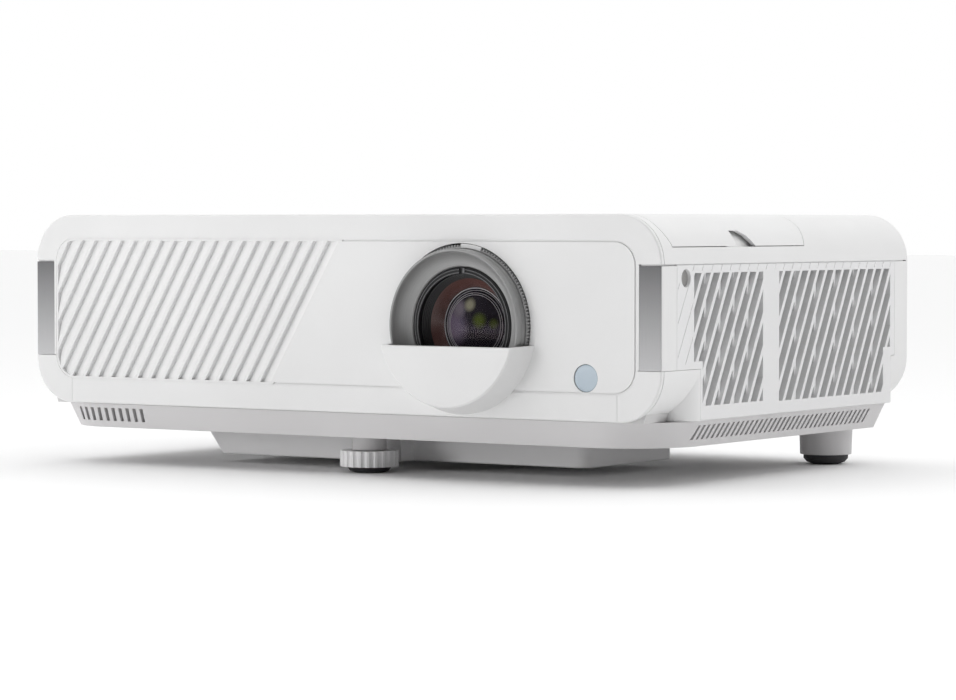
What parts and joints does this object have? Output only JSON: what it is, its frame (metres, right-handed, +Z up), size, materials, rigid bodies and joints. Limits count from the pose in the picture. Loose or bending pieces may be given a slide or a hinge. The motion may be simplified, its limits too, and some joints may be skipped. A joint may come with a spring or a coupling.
{
  "type": "home projector",
  "caption": "White home video projector with an offset lens, ribbed front panel, slatted side grilles, half-cup lens lip, hinged control door and a screw-adjustable front foot.",
  "frame": {"origin": "on the resting surface, under the middle of the outer box (the lens lip is part of that box)", "axes": "+Z up; the lens looks along -Y; +X is to the right of a person facing the lens"},
  "size_m": [0.405, 0.284, 0.1375],
  "materials": {
    "shell_white": "fine satin moulded, white",
    "panel_white": "fine satin moulded, white",
    "grille_grey": "satin moulded, very light grey",
    "trim_silver": "satin silver paint",
    "base_grey": "matt moulded, light warm grey",
    "ring_silver": "fine turned, satin",
    "zoom_grey": "serrated, satin grey",
    "lens_black": "anti-reflection black",
    "coated_glass": "multi-coated",
    "receiver_blue": "translucent blue grey",
    "foot_rubber": "matt rubber",
    "insert_brass": "machined",
    "fastener_steel": "zinc plated",
    "deck_grey": "satin grey",
    "key_white": "satin white",
    "board_green": "solder mask",
    "engine_black": "moulded black",
    "sink_aluminium": "extruded",
    "pipe_copper": "plated copper",
    "fan_black": "moulded black",
    "filter_dark": "open-cell foam",
    "socket_metal": "stamped shells",
    "socket_black": "moulded black"
  },
  "bodies": {
    "shell": {"audio_socket": "socket_black", "base_screws": "fastener_steel", "base_tray": "base_grey", "control_deck": "deck_grey", "door_pin": "fastener_steel", "dust_filter": "filter_dark", "exhaust_heat_sink": "sink_aluminium", "fan_frame_front": "fan_black", "fan_frame_rear": "fan_black", "front_frame": "shell_white", "front_panel": "panel_white", "heat_pipes": "pipe_copper", "imager_board": "board_green", "ir_receiver": "board_green", "ir_window": "receiver_blue", "keypad_board": "board_green", "led_heat_sink": "sink_aluminium", "led_modules": "engine_black", "lens_barrel": "lens_black", "lens_lip": "shell_white", "light_engine": "engine_black", "lower_corner_left": "shell_white", "lower_corner_right": "shell_white", "main_board": "board_green", "mount_inserts": "insert_brass", "power_board": "board_green", "power_inlet": "socket_black", "rear_cap": "shell_white", "rear_foot_left": "base_grey", "rear_foot_pad_left": "foot_rubber", "rear_foot_pad_right": "foot_rubber", "rear_foot_right": "base_grey", "rear_lens_group": "coated_glass", "side_grille_left": "grille_grey", "side_grille_right": "grille_grey", "side_trim_left": "trim_silver", "side_trim_right": "trim_silver", "signal_sockets": "socket_metal", "speaker_left": "engine_black", "speaker_right": "engine_black", "top_cover": "shell_white", "underside_cover": "base_grey"},
    "focus_ring": {"focus_ring": "ring_silver"},
    "lens_cell": {"front_lens_cell": "lens_black", "front_lens": "coated_glass"},
    "zoom_ring": {"zoom_ring": "zoom_grey", "zoom_tab": "panel_white"},
    "zoom_group": {"zoom_carrier": "lens_black", "zoom_lens_group": "coated_glass"},
    "door": {"access_door": "shell_white"},
    "foot_pad": {"front_foot_pad": "foot_rubber"},
    "foot_wheel": {"foot_wheel": "base_grey"},
    "fan_rotor_front": {"fan_rotor_front": "fan_black"},
    "fan_rotor_rear": {"fan_rotor_rear": "fan_black"},
    "power_key": {"power_key": "key_white"},
    "up_key": {"up_key": "key_white"},
    "down_key": {"down_key": "key_white"},
    "left_key": {"left_key": "key_white"},
    "right_key": {"right_key": "key_white"},
    "enter_key": {"enter_key": "key_white"}
  },
  "joints": [
    {"name": "focus_turn", "type": "hinge", "parent": "shell", "child": "focus_ring", "pos_m": [0.0836, -0.127, 0.0804], "axis": [0, 1, 0], "range_deg": [-60, 60]},
    {"name": "focus_shift", "type": "slide", "parent": "shell", "child": "lens_cell", "axis": [0, 1, 0], "range_m": [-0.002, 0.002]},
    {"name": "zoom_turn", "type": "hinge", "parent": "shell", "child": "zoom_ring", "pos_m": [0.0836, -0.127, 0.0804], "axis": [0, 1, 0], "range_deg": [-20, 20]},
    {"name": "zoom_shift", "type": "slide", "parent": "shell", "child": "zoom_group", "axis": [0, 1, 0], "range_m": [-0.005, 0.005]},
    {"name": "door_hinge", "type": "hinge", "parent": "shell", "child": "door", "pos_m": [0.1525, -0.045, 0.1347], "axis": [0, -1, 0], "range_deg": [0, 80]},
    {"name": "foot_lift", "type": "slide", "parent": "shell", "child": "foot_pad", "axis": [0, 0, -1], "range_m": [0, 0.012]},
    {"name": "foot_turn", "type": "hinge", "parent": "foot_pad", "child": "foot_wheel", "pos_m": [0, -0.091, 0], "axis": [0, 0, -1], "range_deg": [0, 1440]},
    {"name": "fan_spin_front", "type": "hinge", "parent": "shell", "child": "fan_rotor_front", "pos_m": [-0.18, -0.051, 0.074], "axis": [1, 0, 0], "continuous": true},
    {"name": "fan_spin_rear", "type": "hinge", "parent": "shell", "child": "fan_rotor_rear", "pos_m": [-0.18, 0.051, 0.074], "axis": [1, 0, 0], "continuous": true},
    {"name": "power_press", "type": "slide", "parent": "shell", "child": "power_key", "axis": [0, 0, -1], "range_m": [0, 0.0008], "stiffness_N_per_m": 400, "springref_m": -0.0008},
    {"name": "up_press", "type": "slide", "parent": "shell", "child": "up_key", "axis": [0, 0, -1], "range_m": [0, 0.0008], "stiffness_N_per_m": 400, "springref_m": -0.0008},
    {"name": "down_press", "type": "slide", "parent": "shell", "child": "down_key", "axis": [0, 0, -1], "range_m": [0, 0.0008], "stiffness_N_per_m": 400, "springref_m": -0.0008},
    {"name": "left_press", "type": "slide", "parent": "shell", "child": "left_key", "axis": [0, 0, -1], "range_m": [0, 0.0008], "stiffness_N_per_m": 400, "springref_m": -0.0008},
    {"name": "right_press", "type": "slide", "parent": "shell", "child": "right_key", "axis": [0, 0, -1], "range_m": [0, 0.0008], "stiffness_N_per_m": 400, "springref_m": -0.0008},
    {"name": "enter_press", "type": "slide", "parent": "shell", "child": "enter_key", "axis": [0, 0, -1], "range_m": [0, 0.0008], "stiffness_N_per_m": 400, "springref_m": -0.0008}
  ],
  "couplings": [
    {"joint": "focus_shift", "follows": "focus_turn", "m_per_rad": 0.0019},
    {"joint": "zoom_shift", "follows": "zoom_turn", "m_per_rad": 0.014},
    {"joint": "foot_turn", "follows": "foot_lift", "rad_per_m": 2094.3}
  ]
}
